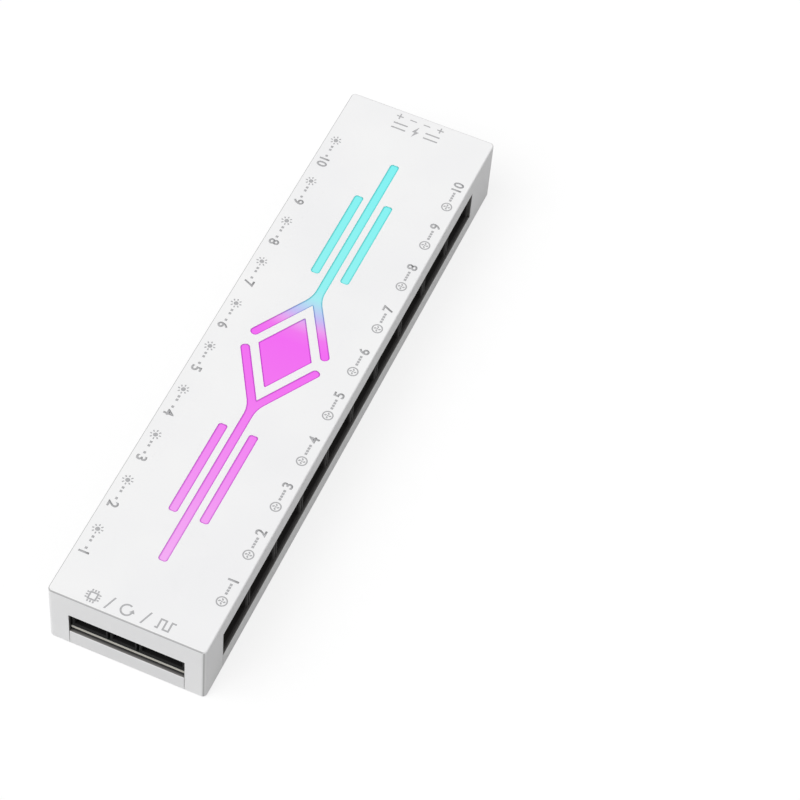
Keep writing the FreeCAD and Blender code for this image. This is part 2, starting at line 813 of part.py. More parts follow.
def small_form(pins, margin):
    """The sizes of one socket of the near end, with a margin beyond its outer pins."""
    width = s.small_pitch * (len(pins) - 1) + margin * 2
    return SimpleNamespace(
        width=width, bottom=board_top, top=s.end_slot_top - s.header_slot_gap,
        depth=s.small_depth, back=s.small_back,
        side_wall=s.small_wall, flat_wall=s.small_wall, chamfer=s.mouth_chamfer,
        pins=pins, pitch=s.small_pitch, thickness=s.small_pin_thickness, rise=s.small_pin_rise,
        recess=s.small_pin_recess, run=s.small_pin_run, foot=s.small_pin_foot, lugs=False,
        key_y=as_size(0), key_width=s.small_key_width, key_height=s.small_key_height, key_on_top=True,
    )


def power_form():
    """The sizes of the power socket of the far end."""
    return SimpleNamespace(
        width=header_width, bottom=board_top, top=s.power_slot_top - s.header_slot_gap,
        depth=s.power_depth, back=s.header_back,
        side_wall=s.header_side_wall, flat_wall=s.header_flat_wall, chamfer=s.mouth_chamfer,
        pins=FAN_PINS, pitch=s.pin_pitch, thickness=s.pin_thickness, rise=s.power_pin_rise,
        recess=s.power_pin_recess, run=s.pin_run, foot=s.pin_foot, lugs=False,
        key_y=as_size(0), key_width=s.key_width, key_height=s.key_height, key_on_top=True,
    )


def make_side_rows():
    """Ten fan headers on the +X side and ten light headers on the -X side, each with its pins."""
    zero = as_size(0)
    fan = side_form(fan_header_bottom, fan_header_top, FAN_PINS, s.fan_pin_rise, zero, s.key_width, True)
    key_y = s.pin_pitch * RGB_KEY_PLACE
    rgb = side_form(rgb_header_bottom, rgb_header_top, RGB_PINS, s.rgb_pin_rise, key_y, s.rgb_key_width, False)
    bodies = []
    for kind, form, side, turn in (("fan", fan, 1, 0), ("rgb", rgb, -1, 180)):
        for piece, make in (("header", make_socket), ("pins", make_pins)):
            master = make(f"{kind}_{piece}_1", form)
            master_y = port_row_middle - s.port_pitch * (s.port_count - 1) / 2
            bodies.append(master)
            for number in range(2, int(s.port_count.value) + 1):
                y = master_y + s.port_pitch * (number - 1)
                bodies.append(copy_body(master, f"{kind}_{piece}_{number}", header_mouth * side, y, turn))
            place_body(master, header_mouth * side, master_y, turn)
    return bodies


def make_end_sockets():
    """Three signal sockets side by side in the near end and the power socket in the far end."""
    bodies = []
    kinds = [("sync", SYNC_PINS), ("reset", RESET_PINS), ("pwm", PWM_PINS)]
    total = (end_slot_half - s.small_slot_gap) * 2
    pitches = sum(len(pins) - 1 for name, pins in kinds)
    margins = total - s.small_gap * (len(kinds) - 1) - s.small_pitch * pitches
    margin = margins / (len(kinds) * 2)
    forms = [(name, small_form(pins, margin)) for name, pins in kinds]
    x = -total / 2
    mouth_y = -half_length + s.small_setback
    for name, form in forms:
        middle = x + form.width / 2
        for piece, make in (("socket", make_socket), ("pins", make_pins)):
            body = make(f"{name}_{piece}", form)
            place_body(body, middle, mouth_y, -90)
            bodies.append(body)
        x = x + form.width + s.small_gap
    for piece, make in (("socket", make_socket), ("pins", make_pins)):
        body = make(f"power_{piece}", power_form())
        place_body(body, 0, half_length - s.header_setback, 90)
        bodies.append(body)
    return bodies


# Parts soldered on the board between the two rows


def make_light_emitters():
    """A row of flat square light sources along the middle of the board."""
    body = new_body("light_emitters")
    start = s.emitter_end_gap - guide_half_length
    half = s.emitter_side / 2
    well = s.emitter_height - s.emitter_well_depth
    first = rectangle(-half, start - half, half, start + half)
    block = pad_polygons(body, "emitter_block", "XY_Plane", board_top, [first], s.emitter_height)
    hole = cut_circles(
        body, "emitter_well", board_top + well, [(0, start)], s.emitter_well_radius,
        s.emitter_well_depth, reverse=True,
    )
    row = body.newObject("PartDesign::LinearPattern", "emitter_row")
    row.Originals = [block, hole]
    row.Direction = (origin_item(body, "Y_Axis"), [""])
    row.setExpression("Length", (-start * 2).text)
    row.setExpression("Occurrences", s.emitter_count.text)
    body.Tip = row
    doc.recompute()
    return body


def make_board_block(label, x, y, size_x, size_y, height):
    """A flat part of the board, lying between two light sources."""
    body = new_body(label)
    plan = rectangle(x - size_x / 2, y - size_y / 2, x + size_x / 2, y + size_y / 2)
    pad_polygons(body, f"{label}_block", "XY_Plane", board_top, [plan], height)
    return body


def make_capacitors():
    """Two round capacitors on square bases beside the power socket."""
    body = new_body("bulk_capacitors")
    half = s.capacitor_base_side / 2
    y = (slot_far + s.board_header_gap + far_boss_y - s.boss_radius) / 2
    places = [(-beside_power, y), (beside_power, y)]
    bases = [rectangle(x - half, y - half, x + half, y + half) for x, y in places]
    pad_polygons(body, "capacitor_bases", "XY_Plane", board_top, bases, s.capacitor_base_height)
    can_bottom = board_top + s.capacitor_base_height
    can_height = s.capacitor_height - s.capacitor_base_height
    pad_circles(body, "capacitor_cans", can_bottom, places, s.capacitor_radius, can_height)
    return body


def make_board_parts():
    """Everything else on the board."""
    zero = as_size(0)
    return [
        make_light_emitters(),
        make_board_block("controller_chip", zero, zero, s.chip_side, s.chip_side, s.chip_height),
        make_board_block("signal_buffer", zero, -emitter_pitch, s.buffer_side, s.buffer_side, s.buffer_height),
        make_board_block(
            "voltage_regulator", zero, emitter_pitch, s.regulator_length, s.regulator_width, s.regulator_height,
        ),
        make_capacitors(),
    ]


def check_and_write(bodies):
    """Every object has to be sound before any piece is written."""
    doc.recompute()
    for item in doc.Objects:
        if "Invalid" in item.State or "Error" in item.State:
            raise ValueError(f"{item.Name} is {item.State}")
    for body in bodies:
        if body.Shape.isNull() or not body.Shape.isValid():
            raise ValueError(f"{body.Label} has no sound shape")
    os.makedirs("parts", exist_ok=True)
    for body in bodies:
        body.Shape.exportStep(os.path.join("parts", f"{body.Label}.step"))


def main():
    """Builds every piece of the hub and writes one file for each."""
    bodies = [
        make_top_shell(),
        make_bottom_cover(),
        make_light_guide(),
        make_magnetic_pad(),
        make_circuit_board(),
        make_board_screws(),
    ]
    bodies += make_side_rows()
    bodies += make_end_sockets()
    bodies += make_board_parts()
    check_and_write(bodies)


main()
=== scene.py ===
import math

import bpy
from mathutils import Matrix, Vector


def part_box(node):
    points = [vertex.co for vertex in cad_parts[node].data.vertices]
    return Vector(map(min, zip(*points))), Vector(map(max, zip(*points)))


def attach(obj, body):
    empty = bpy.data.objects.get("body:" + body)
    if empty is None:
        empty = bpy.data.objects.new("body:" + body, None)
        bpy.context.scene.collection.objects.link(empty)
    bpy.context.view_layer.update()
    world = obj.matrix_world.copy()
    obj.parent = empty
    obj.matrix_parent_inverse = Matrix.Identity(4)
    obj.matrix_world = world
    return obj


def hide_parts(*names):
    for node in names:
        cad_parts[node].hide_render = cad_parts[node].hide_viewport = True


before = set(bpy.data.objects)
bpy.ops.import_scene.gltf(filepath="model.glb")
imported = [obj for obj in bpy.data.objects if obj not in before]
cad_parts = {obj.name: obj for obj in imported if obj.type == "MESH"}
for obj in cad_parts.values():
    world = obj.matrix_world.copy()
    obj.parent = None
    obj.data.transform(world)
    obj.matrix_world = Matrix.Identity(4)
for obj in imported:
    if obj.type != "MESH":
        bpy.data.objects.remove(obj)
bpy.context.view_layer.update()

bl_info = {
    "name": "Fan hub looks",
    "version": (1, 0, 0),
    "blender": (4, 5, 0),
    "location": "3D View > Sidebar > Hub",
    "description": "Dresses the solids of a fan hub with its mouldings, lit figure, sockets and prints",
    "category": "Object",
}

MM = 0.001
PORT_COUNT = 10

# The camera that sees the hub as in the photograph: its place in metres and where its axes point
IMAGE_SIDE = 800
CAMERA_PLACE = (0.140062, -0.336737, 0.488845)
CAMERA_RIGHT = (0.91528, 0.39796, 0.06233)
CAMERA_DOWN = (0.35368, -0.71988, -0.59723)
CAMERA_FORWARD = (-0.19280, 0.56868, -0.79964)
FOCAL_PIXELS = 2900.47
SENSOR_WIDTH = 36.0

# The lit figure's colour along its length: millimetres from the middle, colour
GLOW_STOPS = (
    (-57.0, "#F4AAF4"),
    (-35.0, "#F28BF2"),
    (-10.0, "#F26BF0"),
    (3.0, "#F260F2"),
    (6.0, "#F16DEF"),
    (8.2, "#EC98EE"),
    (10.8, "#C4BAF4"),
    (15.6, "#A2EBF2"),
    (19.0, "#8CF1F1"),
    (32.0, "#86F2F1"),
    (57.0, "#79F1F2"),
)
GLOW_REACH = 57.0

# Distances below the case's top between which the faces inside its slots get painted shade
SLOT_SHADE_START = 2.2 * MM
SLOT_SHADE_END = 15.4 * MM
# How far in from its outer faces the case is taken to be all inner faces
SLOT_SHADE_DEPTH = 1.0 * MM
# A point whose distances to a side and to an end add up to less is at an outer corner, not inside
CORNER_CLEARANCE = 2.0 * MM

# Heights over the floor: the top of the capacitors' bases, and halfway down the lamps' wells
CAN_BASE_TOP = 6.7 * MM
WELL_MIDDLE = 7.4 * MM

# Points nearer than this are one point, in the solids' meshes and in the printed marks
SOLID_MERGE = 0.001 * MM
MARK_MERGE = 0.0005 * MM
# Faces that meet at less are one flat face
FLAT_ANGLE = math.radians(0.5)
# Edges that turn by more stay sharp in the shading
SMOOTH_ANGLE = math.radians(40.0)


def linear(code):
    """An sRGB hex colour as linear red, green, blue and alpha."""
    channels = [int(code[i:i + 2], 16) / 255 for i in (1, 3, 5)]
    return [c / 12.92 if c <= 0.04045 else ((c + 0.055) / 1.055) ** 2.4 for c in channels] + [1.0]


def per_metre(millimetres):
    """The texture scale at which one feature of a pattern has this size."""
    return 1000.0 / millimetres


# Settings


def length_setting(name, description, millimetres):
    """A length that the panel shows in the scene's unit."""
    return bpy.props.FloatProperty(
        name=name, description=description, default=millimetres * MM, unit="LENGTH", precision=6, min=0.0,
    )


def colour_setting(name, description, code):
    """A colour whose default is given as sRGB hex."""
    return bpy.props.FloatVectorProperty(
        name=name, description=description, default=linear(code), subtype="COLOR", size=4, min=0.0, max=1.0,
    )


class HubSizes(bpy.types.PropertyGroup):
    """Sizes of what the scene adds to the solids."""

    case_edge: length_setting("Case edge", "Round along the case mouldings' sharp edges", 0.12)
    socket_edge: length_setting("Socket edge", "Round along the sockets' sharp edges", 0.08)
    figure_edge: length_setting("Figure edge", "Round along the lit figure's edges", 0.08)
    part_edge: length_setting("Part edge", "Round along the board parts' sharp edges", 0.06)
    pin_edge: length_setting("Pin edge", "Round along the contact pins' sharp edges", 0.03)
    pin_point: length_setting("Pin point", "Chamfer round the tip of a contact pin", 0.18)
    pad_edge: length_setting("Pad edge", "Round along the magnetic pad's edges", 0.15)
    ink_thickness: length_setting("Ink thickness", "Height of the printed marks above the case", 0.02)
    numeral_height: length_setting("Numeral height", "Height of the port numbers", 2.3)
    symbol_radius: length_setting("Symbol radius", "Radius of the port symbols", 1.2)
    end_symbol_radius: length_setting("End symbol radius", "Radius of the larger symbols at the ends", 1.45)
    symbol_gap: length_setting("Symbol gap", "Gap between the parts of a port's label", 0.55)
    label_inset: length_setting("Label inset", "Distance from the case's edge to the middle of a label", 2.45)


class HubColours(bpy.types.PropertyGroup):
    """Colours of the hub's materials."""

    case: colour_setting("Case", "Moulded case", "#F3F3F3")
    case_shade: colour_setting("Case shade", "Slight flow shade in the moulded case", "#EFEFF0")
    # Painted shade: the cover is a darker white than the case, so that the lower wall strip under the slots
    # reads shaded
    cover: colour_setting("Cover", "Moulded cover, of a slightly greyer batch", "#ECECEC")
    cover_shade: colour_setting("Cover shade", "Slight flow shade in the moulded cover", "#E7E7E8")
    ink: colour_setting("Ink", "Printed marks", "#A8A8AA")
    ink_thin: colour_setting("Thin ink", "Printed marks where the ink lies thinner", "#B4B4B6")
    socket: colour_setting("Socket", "Moulded sockets", "#211F1F")
    socket_shade: colour_setting("Socket shade", "Flow shade in the moulded sockets", "#2B2928")
    signal_socket: colour_setting("Signal socket", "Moulded sockets at the ends", "#0B0B0C")
    signal_socket_shade: colour_setting("Signal socket shade", "Flow shade in the end sockets", "#131314")
    contact: colour_setting("Contact", "Gold-flashed pins", "#E0BA6C")
    contact_shade: colour_setting("Contact shade", "Thinner gold on the pins", "#CDA050")
    pad: colour_setting("Pad", "Magnetic pad", "#8C8C8D")
    pad_shade: colour_setting("Pad shade", "Rolling streaks in the magnetic pad", "#7D7D7E")
    mask: colour_setting("Solder mask", "Faces of the board", "#1B211F")
    laminate: colour_setting("Laminate", "Cut edges of the board", "#BAB7AE")
    steel: colour_setting("Steel", "Screws", "#B9BBC0")
    can: colour_setting("Can", "Drawn cans of the capacitors", "#C9CBD0")
    package: colour_setting("Package", "Moulded packages on the board", "#202123")
    emitter: colour_setting("Emitter", "Housings of the light sources", "#EEEDE6")
    lens: colour_setting("Lens", "Lenses of the light sources", "#E9DC9A")
    floor: colour_setting("Floor", "Floor as it lights the hub", "#B4B4B4")


# Node trees and materials


def add_node(tree, kind, inputs=None, stops=(), **settings):
    """A node with its settings and colour stops, each input given a value or fed by another node's socket."""
    node = tree.nodes.new(kind)
    for name, value in settings.items():
        setattr(node, name, value)
    for name, value in (inputs or {}).items():
        if isinstance(value, bpy.types.NodeSocket):
            tree.links.new(value, node.inputs[name])
        else:
            node.inputs[name].default_value = value
    for index, (position, colour) in enumerate(stops):
        if index < 2:
            element = node.color_ramp.elements[index]
            element.position = position
        else:
            element = node.color_ramp.elements.new(position)
        element.color = colour
    return node


def new_material(name):
    """An empty material with its node tree."""
    material = bpy.data.materials.new(name)
    material.use_nodes = True
    material.node_tree.nodes.clear()
    return material, material.node_tree


def finish_material(tree, shader):
    """Leads the last shader to the surface."""
    add_node(tree, "ShaderNodeOutputMaterial", {"Surface": shader.outputs[0]})


def patches(tree, grain, stretch=(1.0, 1.0, 1.0), detail=2.0):
    """Noise whose patches have a size in mm, drawn out along the axes that are scaled down."""
    place = add_node(tree, "ShaderNodeTexCoord").outputs["Object"]
    stretched = add_node(tree, "ShaderNodeMapping", {"Vector": place, "Scale": stretch})
    noise = add_node(
        tree, "ShaderNodeTexNoise",
        {"Vector": stretched.outputs["Vector"], "Scale": per_metre(grain), "Detail": detail},
    )
    return noise.outputs["Fac"]


def between(tree, fac, low, high):
    """A colour that goes from one to another over the middle of a noise's range."""
    ramp = add_node(tree, "ShaderNodeValToRGB", {"Fac": fac}, stops=((0.3, low), (0.7, high)))
    return ramp.outputs["Color"]


def spread(tree, fac, low, high):
    """A number that goes from one to another over the middle of a noise's range."""
    limits = {"Value": fac, "From Min": 0.3, "From Max": 0.7, "To Min": low, "To Max": high}
    return add_node(tree, "ShaderNodeMapRange", limits).outputs["Result"]


def times(tree, fac, first, second):
    """A colour multiplied by another as far as a factor from 0 to 1 says."""
    mix = add_node(
        tree, "ShaderNodeMix", {0: fac, 6: first, 7: second}, data_type="RGBA", blend_type="MULTIPLY",
    )
    return mix.outputs[2]


def relief(tree, height, depth):
    """A bumped normal from a height that a depth in mm scales."""
    bump = add_node(tree, "ShaderNodeBump", {"Height": height, "Distance": depth * MM})
    return bump.outputs["Normal"]


def less_than(tree, value, limit):
    """1 where a number is under a limit, and 0 elsewhere."""
    return add_node(tree, "ShaderNodeMath", {0: value, 1: limit}, operation="LESS_THAN").outputs["Value"]


def product(tree, first, second):
    """Two numbers multiplied."""
    return add_node(tree, "ShaderNodeMath", {0: first, 1: second}, operation="MULTIPLY").outputs["Value"]


def case_insets(tree):
    """Distances from a point of the case to the nearer long side, to the nearer end and to the top."""
    place = add_node(tree, "ShaderNodeTexCoord").outputs["Object"]
    mirrored = add_node(tree, "ShaderNodeVectorMath", {0: place}, operation="ABSOLUTE").outputs["Vector"]
    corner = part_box("top_shell")[1]
    inset = add_node(tree, "ShaderNodeVectorMath", {0: corner, 1: mirrored}, operation="SUBTRACT")
    parts = add_node(tree, "ShaderNodeSeparateXYZ", {"Vector": inset.outputs["Vector"]})
    return [parts.outputs[axis] for axis in "XYZ"]


def lacquered(tree, colour, side, end, top):
    """The case's colour outside, and painted shade that darkens the faces inside its slots, deeper further
    in.
    """
    nearer = add_node(tree, "ShaderNodeMath", {0: side, 1: end}, operation="MINIMUM").outputs["Value"]
    behind = add_node(tree, "ShaderNodeMapRange", {"Value": nearer, "From Max": SLOT_SHADE_DEPTH})
    both = add_node(tree, "ShaderNodeMath", {0: side, 1: end}, operation="ADD").outputs["Value"]
    off_corner = less_than(tree, CORNER_CLEARANCE, both)
    below_start = less_than(tree, SLOT_SHADE_START, top)
    above_end = less_than(tree, top, SLOT_SHADE_END)
    inside = product(tree, off_corner, product(tree, below_start, above_end))
    depth = product(tree, behind.outputs["Result"], inside)
    # Painted shade: it fades out over the last 0.1 mm before the outer face and is darkest 0.8 mm in
    stops = (
        (0.06, linear("#FFFFFF")),
        (0.12, linear("#8C8A88")),
        (0.5, linear("#6C6A68")),
        (0.8, linear("#3A3A3A")),
    )
    slot_shade = add_node(tree, "ShaderNodeValToRGB", {"Fac": depth}, stops=stops).outputs["Color"]
    return times(tree, 1.0, colour, slot_shade)


def edge_lines(tree, colour, top):
    """The case's colour with a thin grey line of painted shade along its rounded edges."""
    facing = add_node(tree, "ShaderNodeNewGeometry").outputs["Normal"]
    parts = add_node(tree, "ShaderNodeSeparateXYZ", {"Vector": facing})
    across, upward = parts.outputs["X"], parts.outputs["Z"]
    plain, top_shade, post_shade = linear("#FFFFFF"), linear("#BABABA"), linear("#C8C8C8")
    edge_band = 0.6 * MM
    # Painted shade along the top's edges, but for the fan side's, which is crisp
    off_fan_side = add_node(
        tree, "ShaderNodeMapRange", {"Value": across, "From Min": 0.5, "From Max": 0.1},
    ).outputs["Result"]
    at_top = product(tree, off_fan_side, less_than(tree, top, edge_band))
    top_stops = ((0.0, plain), (0.15, top_shade), (0.85, top_shade), (0.98, plain))
    top_edge_shade = add_node(tree, "ShaderNodeValToRGB", {"Fac": upward}, stops=top_stops).outputs["Color"]
    with_top = times(tree, at_top, colour, top_edge_shade)
    # Painted shade down the corners of the fan side
    upright = less_than(tree, upward, 0.1)
    post_stops = ((0.3, plain), (0.48, post_shade), (0.58, post_shade), (0.75, plain))
    corner_edge_shade = add_node(tree, "ShaderNodeValToRGB", {"Fac": across}, stops=post_stops).outputs["Color"]
    return times(tree, upright, with_top, corner_edge_shade)


def make_case_plastic(name, colour, shade):
    """Injection-moulded white ABS, with painted shade inside its slots and along its rounded edges."""
    material, tree = new_material(name)
    side, end, top = case_insets(tree)
    # Spark-eroded tools leave a fine satin grain; 0.05 mm in truth, drawn at 0.3 mm so that it shows
    grain = patches(tree, 0.3, detail=3.0)
    # Slow changes of tone over 20 mm where the melt flowed in
    flow = patches(tree, 20.0)
    moulded = between(tree, flow, colour, shade)
    shader = add_node(tree, "ShaderNodeBsdfPrincipled", {
        # The moulded tone, with painted shade along the edges and inside the slots
        "Base Color": lacquered(tree, edge_lines(tree, moulded, top), side, end, top),
        "Roughness": spread(tree, grain, 0.5, 0.58),
        "Specular IOR Level": 0.3,
        "Normal": relief(tree, grain, 0.012),
        "IOR": 1.54,
    })
    finish_material(tree, shader)
    return material


def make_glow_plastic():
    """Moulded opal polycarbonate, lit from below by coloured light sources."""
    material, tree = new_material("moulded_opal_polycarbonate")
    place = add_node(tree, "ShaderNodeTexCoord").outputs["Object"]
    along = add_node(tree, "ShaderNodeSeparateXYZ", {"Vector": place}).outputs["Y"]
    reach = GLOW_REACH * MM
    share = add_node(tree, "ShaderNodeMapRange", {"Value": along, "From Min": -reach, "From Max": reach})
    stops = [((y + GLOW_REACH) / (2 * GLOW_REACH), linear(code)) for y, code in GLOW_STOPS]
    ramp = add_node(tree, "ShaderNodeValToRGB", {"Fac": share.outputs["Result"]}, stops=stops)
    glow = ramp.outputs["Color"]
    # Painted shade: a fine line of a deeper, darker colour along the figure's edges
    edge_reach = 0.55 * MM
    rounded = add_node(tree, "ShaderNodeBevel", {"Radius": edge_reach}, samples=8).outputs["Normal"]
    upward = add_node(tree, "ShaderNodeSeparateXYZ", {"Vector": rounded}).outputs["Z"]
    # The rounded normal starts to lean where the line starts
    at_edge = add_node(
        tree, "ShaderNodeMapRange", {"Value": upward, "From Min": 0.99, "From Max": 0.93},
    ).outputs["Result"]
    shaded_glow = add_node(tree, "ShaderNodeGamma", {"Color": glow, "Gamma": 2.2}).outputs["Color"]
    edge_mix = add_node(tree, "ShaderNodeMix", {0: at_edge, 6: glow, 7: shaded_glow}, data_type="RGBA")
    glow_with_edge_shade = times(tree, at_edge, edge_mix.outputs[2], linear("#DCE6E6"))
    # The milky skin itself shows a little of the colour in the light of the room
    skin = add_node(tree, "ShaderNodeVectorMath", {0: glow_with_edge_shade, "Scale": 0.2}, operation="SCALE")
    # A satin skin with a faint 0.4 mm ripple softens what it reflects
    ripple = patches(tree, 0.4)
    shader = add_node(tree, "ShaderNodeBsdfPrincipled", {
        "Base Color": skin.outputs["Vector"],
        "Emission Color": glow_with_edge_shade,
        "Emission Strength": 0.75,
        "Roughness": spread(tree, ripple, 0.4, 0.5),
        "Normal": relief(tree, ripple, 0.004),
        "IOR": 1.58,
    })
    finish_material(tree, shader)
    return material


def make_socket_plastic(name, colour, shade):
    """Glass-filled nylon or polyester of the plug sockets, moulded matt black."""
    material, tree = new_material(name)
    # Glass fibres at the skin make a 0.25 mm mottle that takes the gloss off the black
    mottle = patches(tree, 0.25, detail=3.0)
    shader = add_node(tree, "ShaderNodeBsdfPrincipled", {
        "Base Color": between(tree, mottle, colour, shade),
        "Roughness": spread(tree, mottle, 0.65, 0.8),
        "Specular IOR Level": 0.2,
        "Normal": relief(tree, mottle, 0.01),
        "IOR": 1.53,
    })
    finish_material(tree, shader)
    return material


def make_contact_metal(colours):
    """Drawn brass pins with a thin bright gold flash."""
    material, tree = new_material("gold_flashed_brass")
    # Drawing lines along the pins, 0.1 mm apart, break up the highlight
    lines = patches(tree, 0.1, stretch=(0.05, 1.0, 1.0))
    shader = add_node(tree, "ShaderNodeBsdfPrincipled", {
        "Base Color": between(tree, lines, colours.contact, colours.contact_shade),
        "Metallic": 1.0,
        "Roughness": spread(tree, lines, 0.2, 0.32),
        "Normal": relief(tree, lines, 0.003),
    })
    finish_material(tree, shader)
    return material


def make_pad_rubber(colours):
    """Calendered magnetic rubber sheet with a satin grey skin."""
    material, tree = new_material("calendered_magnetic_sheet")
    # The rollers leave streaks along the sheet, 0.35 mm wide and many times as long
    streaks = patches(tree, 0.35, stretch=(1.0, 0.04, 1.0), detail=4.0)
    shader = add_node(tree, "ShaderNodeBsdfPrincipled", {
        "Base Color": between(tree, streaks, colours.pad, colours.pad_shade),
        "Roughness": spread(tree, streaks, 0.3, 0.42),
        "Normal": relief(tree, streaks, 0.006),
        "IOR": 1.52,
    })
    finish_material(tree, shader)
    return material


def make_board_laminate(colours):
    """Glass-epoxy laminate: dark solder mask on the faces, pale glass fibre at the cut edges."""
    material, tree = new_material("masked_glass_laminate")
    facing = add_node(tree, "ShaderNodeNewGeometry").outputs["True Normal"]
    upward = add_node(tree, "ShaderNodeSeparateXYZ", {"Vector": facing}).outputs["Z"]
    level = add_node(tree, "ShaderNodeMath", {0: upward}, operation="ABSOLUTE").outputs["Value"]
    # The weave's 0.5 mm threads print through the mask as a faint ripple
    weave = patches(tree, 0.5, detail=1.0)
    surface = add_node(
        tree, "ShaderNodeValToRGB", {"Fac": level}, stops=((0.45, colours.laminate), (0.55, colours.mask)),
    )
    shader = add_node(tree, "ShaderNodeBsdfPrincipled", {
        "Base Color": surface.outputs["Color"],
        "Roughness": spread(tree, weave, 0.3, 0.4),
        "Normal": relief(tree, weave, 0.01),
        "IOR": 1.5,
    })
    finish_material(tree, shader)
    return material


def make_screw_steel(colours):
    """Zinc-plated steel of the screws, with a clear satin shine."""
    material, tree = new_material("zinc_plated_steel")
    # The plating's bloom clouds the shine in patches of 0.3 mm
    bloom = patches(tree, 0.3)
    shader = add_node(tree, "ShaderNodeBsdfPrincipled", {
        "Base Color": colours.steel,
        "Metallic": 1.0,
        "Roughness": spread(tree, bloom, 0.25, 0.4),
        "Normal": relief(tree, bloom, 0.004),
    })
    finish_material(tree, shader)
    return material


def make_can_aluminium(colours):
    """Drawn aluminium cans over their black plastic bases."""
    material, tree = new_material("drawn_aluminium")
    place = add_node(tree, "ShaderNodeTexCoord").outputs["Object"]
    height = add_node(tree, "ShaderNodeSeparateXYZ", {"Vector": place}).outputs["Z"]
    in_can = less_than(tree, CAN_BASE_TOP, height)
    # Draw lines run up the can, 0.15 mm apart
    lines = patches(tree, 0.15, stretch=(1.0, 1.0, 0.05))
    surface = add_node(
        tree, "ShaderNodeValToRGB", {"Fac": in_can}, stops=((0.0, colours.package), (1.0, colours.can)),
    )
    shader = add_node(tree, "ShaderNodeBsdfPrincipled", {
        "Base Color": surface.outputs["Color"],
        "Metallic": in_can,
        "Roughness": spread(tree, lines, 0.25, 0.4),
    })
    finish_material(tree, shader)
    return material


def make_package_epoxy(colours):
    """Transfer-moulded epoxy of the chips, matt charcoal."""
    material, tree = new_material("moulded_epoxy")
    # The silica in the resin leaves a fine 0.12 mm grain that keeps the packages matt
    grain = patches(tree, 0.12, detail=3.0)
    shader = add_node(tree, "ShaderNodeBsdfPrincipled", {
        "Base Color": between(tree, grain, colours.package, colours.socket),
        "Roughness": spread(tree, grain, 0.6, 0.75),
        "Normal": relief(tree, grain, 0.008),
        "IOR": 1.55,
    })
    finish_material(tree, shader)
    return material


def make_emitter_plastic(colours):
    """Moulded polyphthalamide housings with a soft yellowish lens in the well."""
    material, tree = new_material("moulded_polyphthalamide")
    place = add_node(tree, "ShaderNodeTexCoord").outputs["Object"]
    height = add_node(tree, "ShaderNodeSeparateXYZ", {"Vector": place}).outputs["Z"]
    facing = add_node(tree, "ShaderNodeNewGeometry").outputs["True Normal"]
    upward = add_node(tree, "ShaderNodeSeparateXYZ", {"Vector": facing}).outputs["Z"]
    in_well = product(tree, less_than(tree, height, WELL_MIDDLE), upward)
    # Patches of 0.2 mm, softer and harder in gloss, where the glass filler comes near the skin
    grain = patches(tree, 0.2)
    surface = add_node(
        tree, "ShaderNodeValToRGB", {"Fac": in_well}, stops=((0.4, colours.emitter), (0.6, colours.lens)),
    )
    shader = add_node(tree, "ShaderNodeBsdfPrincipled", {
        "Base Color": surface.outputs["Color"],
        "Roughness": spread(tree, grain, 0.35, 0.5),
        "IOR": 1.5,
    })
    finish_material(tree, shader)
    return material


def make_ink(colours):
    """Pad-printed grey ink, matt, a little thinner in places."""
    material, tree = new_material("pad_printed_ink")
    # The pad lifts the ink unevenly over about 0.4 mm
    cover = patches(tree, 0.4, detail=3.0)
    shader = add_node(tree, "ShaderNodeBsdfPrincipled", {
        "Base Color": between(tree, cover, colours.ink, colours.ink_thin),
        "Roughness": spread(tree, cover, 0.55, 0.7),
        "IOR": 1.48,
    })
    finish_material(tree, shader)
    return material


# Making meshes


def select_only(piece):
    """Makes one object the only selected and active one."""
    bpy.ops.object.select_all(action="DESELECT")
    piece.select_set(True)
    bpy.context.view_layer.objects.active = piece


def dress(piece, material):
    """Gives a finished piece its one material and its body."""
    piece.data.materials.clear()
    piece.data.materials.append(material)
    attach(piece, "root")


def apply_modifier(piece, kind, **settings):
    """Adds a modifier with its settings and applies it."""
    select_only(piece)
    modifier = piece.modifiers.new(kind.title(), kind)
    for name, value in settings.items():
        setattr(modifier, name, value)
    bpy.ops.object.modifier_apply(modifier=modifier.name)


def clean_copy(node, name):
    """A new piece with the form of a CAD piece, its loose triangles merged into clean faces."""
    piece = bpy.data.objects.new(name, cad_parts[node].data.copy())
    bpy.context.scene.collection.objects.link(piece)
    select_only(piece)
    bpy.ops.object.mode_set(mode="EDIT")
    bpy.ops.mesh.select_all(action="SELECT")
    bpy.ops.mesh.customdata_custom_splitnormals_clear()
    bpy.ops.mesh.remove_doubles(threshold=SOLID_MERGE)
    bpy.ops.mesh.dissolve_limited(angle_limit=FLAT_ANGLE)
    bpy.ops.object.mode_set(mode="OBJECT")
    return piece


def split_faces(piece):
    """Splits a piece's many-cornered faces, which would fold over where a bevel moves their corners."""
    select_only(piece)
    bpy.ops.object.mode_set(mode="EDIT")
    bpy.ops.mesh.select_all(action="SELECT")
    bpy.ops.mesh.quads_convert_to_tris(ngon_method="BEAUTY")
    bpy.ops.mesh.tris_convert_to_quads()
    bpy.ops.object.mode_set(mode="OBJECT")


def break_edges(piece, width, segments=2, angle=35.0):
    """Rounds a piece's sharp edges and shades it so that flat faces stay flat."""
    apply_modifier(
        piece, "BEVEL", width=width, segments=segments, limit_method="ANGLE",
        angle_limit=math.radians(angle), use_clamp_overlap=True, harden_normals=False,
    )
    select_only(piece)
    bpy.ops.object.shade_smooth_by_angle(angle=SMOOTH_ANGLE)
    apply_modifier(piece, "WEIGHTED_NORMAL", keep_sharp=True, weight=100)


def copy_along(piece, name, step):
    """Another piece of the same form with its own mesh, moved along the hub."""
    twin = bpy.data.objects.new(name, piece.data.copy())
    bpy.context.scene.collection.objects.link(twin)
    twin.data.transform(Matrix.Translation((0.0, step, 0.0)))
    return twin


def middle_of(node):
    """The middle of a CAD piece's box."""
    low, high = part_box(node)
    return (low + high) / 2


